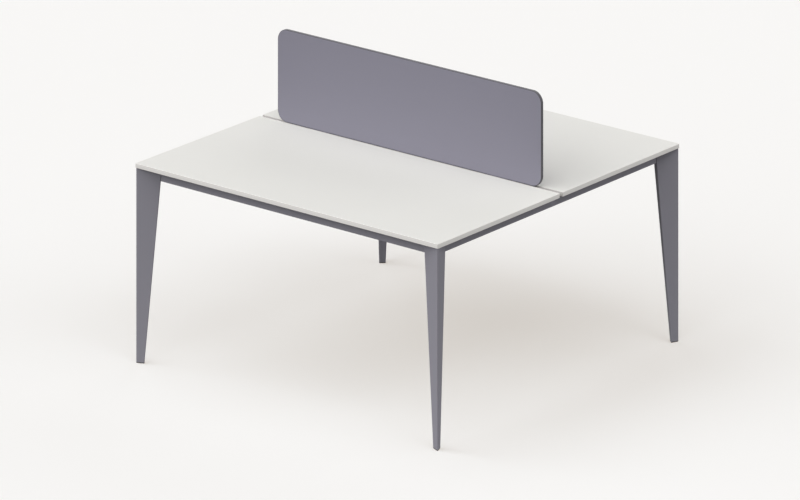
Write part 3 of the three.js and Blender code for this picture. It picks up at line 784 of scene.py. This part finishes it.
def hole_ring(ring, centre, radius, z):
    """The points of a round hole that lie in line with those of a ring round it."""
    points = []
    for point in ring:
        way = (point - centre).xy.normalized() * radius
        points.append(Vector((centre.x + way.x, centre.y + way.y, z)))
    return points


def end_cap(look, legs, corner):
    low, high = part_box(f"{corner}_leg_end_cap")
    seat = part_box(f"{corner}_leg")[0].z
    foot_low, foot_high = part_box(f"{corner}_levelling_foot")
    centre = (foot_low + foot_high) / 2
    outer_fold = legs.leg_fold + legs.leg_wall
    plug = -legs.leg_wall - look.cap_clearance
    steps = [
        (low.z, -look.rounding, outer_fold - look.rounding),
        (low.z + look.rounding, 0, outer_fold),
        (seat, 0, outer_fold),
        (seat, plug, legs.leg_fold),
        (high.z, plug, legs.leg_fold),
    ]
    rings = [wedge_ring(legs, corner, z, offset, fold) for z, offset, fold in steps]
    bore = look.stud_radius + look.cap_clearance
    recess = (foot_high.x - foot_low.x) / 2 + look.cap_clearance
    ceiling = foot_low.z + look.pad_height + look.cap_clearance
    for radius, z in ((bore, high.z), (bore, ceiling), (recess, ceiling), (recess, low.z)):
        rings.append(hole_ring(rings[0], centre, radius, z))
    return ring_piece(f"{corner}_cap", rings, closed=True)


def turned_ring(centre, radius, z):
    turns = [2 * math.pi * k / ROUND_STEPS for k in range(ROUND_STEPS)]
    return [Vector((centre.x + radius * math.cos(a), centre.y + radius * math.sin(a), z)) for a in turns]


def thread_ring(look, centre, z, start):
    """One level of a screw thread: the radius falls and rises once round the stud."""
    ring = []
    for k, point in enumerate(turned_ring(centre, look.stud_radius, z)):
        phase = ((z - start) / look.thread_pitch - k / ROUND_STEPS) % 1
        sink = look.thread_depth * abs(2 * phase - 1)
        way = Vector((point.x - centre.x, point.y - centre.y, 0)).normalized()
        ring.append(point - way * sink)
    return ring


def levelling_foot(look, corner):
    low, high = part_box(f"{corner}_levelling_foot")
    centre = (low + high) / 2
    pad = (high.x - low.x) / 2
    top = low.z + look.pad_height
    rings = [
        turned_ring(centre, pad - inset, height)
        for inset, height in edge_section(low.z, top, look.rounding)
    ]
    root = look.stud_radius - look.thread_depth
    rings.append(turned_ring(centre, root, top))
    rows = round((high.z - top) / look.thread_pitch - 1) * ROWS_PER_TURN
    start = top + look.thread_pitch / 2
    for row in range(rows + 1):
        rings.append(thread_ring(look, centre, start + look.thread_pitch * row / ROWS_PER_TURN, start))
    rings.append(turned_ring(centre, root, high.z))
    return ring_piece(f"{corner}_foot_screw", rings, closed=False)


class MakeFeet(bpy.types.Operator):
    """Makes the end caps of the legs and the levelling feet in them"""
    bl_idname = "desk.make_feet"
    bl_label = "Caps and Feet"

    def execute(self, context):
        look = context.scene.desk_feet
        plastic = moulded_plastic(look)
        for corner in CORNERS:
            cap = end_cap(look, context.scene.desk_frame, corner)
            cap.data.materials.append(plastic)
            settle(cap, FRAME_BODY, [f"{corner}_leg_end_cap"])
            foot = levelling_foot(look, corner)
            foot.data.materials.append(plastic)
            foot.data.materials.append(zinc_plate(context.scene.desk_fixings))
            pad_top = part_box(f"{corner}_levelling_foot")[0].z + look.pad_height
            for face in foot.data.polygons:
                face.material_index = int(face.center.z > pad_top + look.rounding)
            settle(foot, f"{corner}_foot", [f"{corner}_levelling_foot"])
        return {"FINISHED"}


# Screen

def upright_rings(low, high, corner, section):
    """Rings of a standing slab or band, from (inset, depth) pairs."""
    flat_low, flat_high = low.xz, high.xz
    return [
        [
            Vector((point.x, depth, point.y))
            for point in rounded_rectangle(flat_low, flat_high, inset, corner, SCREEN_CORNER_STEPS)
        ]
        for inset, depth in section
    ]


def blade_slots(look):
    """Cutters round the parts of the posts that stand in the screen."""
    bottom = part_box("screen_edge_trim")[0].z
    room = Vector((1, 1, 1)) * look.slot_clearance
    slots = []
    for end in ENDS:
        blade = [point for point in node_points(f"{end}_screen_post") if point.z > bottom + room.z]
        low = Vector(min(point[axis] for point in blade) for axis in range(3))
        high = Vector(max(point[axis] for point in blade) for axis in range(3))
        low.z = bottom - room.z
        slots.append(block_piece(f"{end}_slot", low - room, high + room))
    return slots


class MakeScreen(bpy.types.Operator):
    """Makes the screen's panel and the trim round it"""
    bl_idname = "desk.make_screen"
    bl_label = "Screen"

    def execute(self, context):
        look = context.scene.desk_screen
        low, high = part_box("screen_panel")
        low_trim, high_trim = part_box("screen_edge_trim")
        width = low.x - low_trim.x
        section = edge_section(low.y, high.y, look.seam)
        rings = upright_rings(low, high, look.trim_corner - width, section)
        panel = ring_piece("screen_board", rings, closed=False)
        section = band_section(low.y, high.y, look.trim_rounding, width, look.seam)
        rings = upright_rings(low_trim, high_trim, look.trim_corner, section)
        trim = ring_piece("screen_trim", rings, closed=True)
        for piece, material, slot, node in (
            (panel, screen_laminate(look), "screen_board", "screen_panel"),
            (trim, trim_plastic(look), "screen_edging", "screen_edge_trim"),
        ):
            carve(piece, blade_slots(look))
            piece.data.materials.clear()
            piece.data.materials.append(material)
            settle(piece, FRAME_BODY, [node])
        return {"FINISHED"}


# Stage

def seen_directly(tree):
    """1 for what the camera sees, also in a mirror or through glass, and 0 for what only lights others."""
    path = put(tree, "ShaderNodeLightPath").outputs
    seen = calculate(tree, "MAXIMUM", path["Is Camera Ray"], path["Is Glossy Ray"])
    return calculate(tree, "MAXIMUM", seen, path["Is Transmission Ray"])


def paper_bounce(tree, look):
    """The paper's colour where it lights other things. It fades away from the desk."""
    away = put(tree, "ShaderNodeVectorMath", operation="LENGTH")
    feed(tree, away.inputs[0], put(tree, "ShaderNodeTexCoord").outputs["Object"])
    fade = put(tree, "ShaderNodeMapRange")
    feed(tree, fade.inputs["Value"], away.outputs["Value"])
    feed(tree, fade.inputs["From Min"], look.bounce_end)
    feed(tree, fade.inputs["From Max"], look.bounce_reach)
    bounce = put(tree, "ShaderNodeMix", data_type="RGBA")
    feed(tree, bounce.inputs["Factor"], fade.outputs["Result"])
    feed(tree, bounce.inputs["A"], (0, 0, 0, 1))
    feed(tree, bounce.inputs["B"], (*look.bounce_colour, 1))
    return bounce.outputs["Result"]


def floor_material(look):
    """Paper that looks nearly as pale as the backdrop, and can be looked through from below."""
    material = bpy.data.materials.new("pale_floor")
    material.use_nodes = True
    tree = material.node_tree
    shader = tree.nodes["Principled BSDF"]
    seen = seen_directly(tree)
    paper = put(tree, "ShaderNodeMix", data_type="RGBA")
    feed(tree, paper.inputs["Factor"], seen)
    feed(tree, paper.inputs["A"], paper_bounce(tree, look))
    feed(tree, paper.inputs["B"], (*look.floor_colour, 1))
    feed(tree, shader.inputs["Base Color"], paper.outputs["Result"])
    shader.inputs["Roughness"].default_value = 1
    shader.inputs["Specular IOR Level"].default_value = 0
    shader.inputs["Emission Color"].default_value = (*look.floor_glow, 1)
    feed(tree, shader.inputs["Emission Strength"], seen)
    side = put(tree, "ShaderNodeNewGeometry")
    clear = put(tree, "ShaderNodeBsdfTransparent")
    mix = put(tree, "ShaderNodeMixShader")
    feed(tree, mix.inputs["Fac"], side.outputs["Backfacing"])
    feed(tree, mix.inputs[1], shader.outputs["BSDF"])
    feed(tree, mix.inputs[2], clear.outputs["BSDF"])
    feed(tree, tree.nodes["Material Output"].inputs["Surface"], mix.outputs["Shader"])
    return material


def make_floor(look):
    half = look.floor_width / 2
    height = CAD_BOX[0].z
    mesh = bpy.data.meshes.new("floor")
    mesh.from_pydata(
        [(-half, -half, height), (half, -half, height), (half, half, height), (-half, half, height)],
        [], [(0, 1, 2, 3)],
    )
    mesh.materials.append(floor_material(look))
    new_piece("floor", mesh)


def soft_lamp(name, strength, softness, azimuth, elevation):
    light = bpy.data.lights.new(name, "SUN")
    light.energy = strength
    light.angle = softness
    lamp = bpy.data.objects.new(name, light)
    flat = math.cos(elevation)
    towards = Vector((math.sin(azimuth) * flat, -math.cos(azimuth) * flat, math.sin(elevation)))
    lamp.rotation_euler = towards.to_track_quat("Z", "Y").to_euler()
    bpy.context.scene.collection.objects.link(lamp)


def make_light(look):
    """A pale backdrop, a ring of soft lamps and a wider one from the front left."""
    world = bpy.data.worlds.new("studio")
    world.use_nodes = True
    bpy.context.scene.world = world
    tree = world.node_tree
    light = tree.nodes["Background"]
    light.inputs["Color"].default_value = (1, 1, 1, 1)
    light.inputs["Strength"].default_value = look.sky_strength
    backdrop = put(tree, "ShaderNodeBackground")
    backdrop.inputs["Color"].default_value = (*look.backdrop_colour, 1)
    mix = put(tree, "ShaderNodeMixShader")
    feed(tree, mix.inputs["Fac"], seen_directly(tree))
    feed(tree, mix.inputs[1], light.outputs[0])
    feed(tree, mix.inputs[2], backdrop.outputs[0])
    feed(tree, tree.nodes["World Output"].inputs["Surface"], mix.outputs["Shader"])

    for turn, height, strength in RING_LAMPS:
        azimuth, elevation = math.radians(turn), math.radians(height)
        soft_lamp(f"lamp_at_{turn}", strength, look.lamp_softness, azimuth, elevation)
    soft_lamp("key", look.key_strength, look.key_softness, look.key_azimuth, look.key_elevation)


def make_camera(look):
    """A camera whose picture stands upright while it looks down, so that the legs stay parallel."""
    along = Vector((-math.sin(look.view_azimuth), math.cos(look.view_azimuth), 0))
    right = Vector((math.cos(look.view_azimuth), math.sin(look.view_azimuth), 0))
    eye = UP * look.eye_height - along * look.eye_distance - right * look.eye_aside
    sight = along * look.focal_pixels + UP * (look.horizon_row - look.picture_height / 2)
    data = bpy.data.cameras.new("photo_view")
    data.lens = data.sensor_width * sight.length / look.picture_width
    data.clip_end = look.floor_width
    camera = bpy.data.objects.new("photo_view", data)
    stand = bpy.data.objects.new("camera_stand", None)
    for thing in (stand, camera):
        bpy.context.scene.collection.objects.link(thing)
    camera.parent = stand
    upright = Matrix((right, UP, -sight.normalized())).transposed().to_4x4()
    camera.matrix_parent_inverse = Matrix.Translation(eye) @ upright
    bpy.context.scene.camera = camera


class MakeStage(bpy.types.Operator):
    """Makes the floor, the light and the camera"""
    bl_idname = "desk.make_stage"
    bl_label = "Stage"

    def execute(self, context):
        look = context.scene.desk_stage
        make_floor(look)
        make_light(look)
        make_camera(look)
        context.scene.view_settings.view_transform = "Standard"
        return {"FINISHED"}


# Add-on

LOOKS = {
    "desk_worktops": WorktopLook, "desk_frame": FrameLook, "desk_feet": FootLook,
    "desk_screen": ScreenLook, "desk_fixings": FixingLook, "desk_stage": StageLook,
}
OPERATORS = (
    MakeStage, MakeWorktops, MakeLegs, MakeRails, MakeBrackets, MakeFixings, MakeFeet, MakeScreen,
)


class DeskPanel(bpy.types.Panel):
    """Lists the steps that make the desk and the values that they use"""
    bl_idname = "VIEW3D_PT_desk"
    bl_label = "Benching Desk"
    bl_space_type = "VIEW_3D"
    bl_region_type = "UI"
    bl_category = "Desk"

    def draw(self, context):
        for operator in OPERATORS:
            self.layout.operator(operator.bl_idname)
        for attribute, group in LOOKS.items():
            box = self.layout.box()
            for name in group.__annotations__:
                box.prop(getattr(context.scene, attribute), name)


CLASSES = (*LOOKS.values(), *OPERATORS, DeskPanel)


def register():
    for kind in CLASSES:
        bpy.utils.register_class(kind)
    for attribute, group in LOOKS.items():
        setattr(bpy.types.Scene, attribute, PointerProperty(type=group))


def unregister():
    for attribute in LOOKS:
        delattr(bpy.types.Scene, attribute)
    for kind in reversed(CLASSES):
        bpy.utils.unregister_class(kind)


def main():
    register()
    for operator in OPERATORS:
        area, name = operator.bl_idname.split(".")
        getattr(getattr(bpy.ops, area), name)()


if __name__ == "__main__":
    main()
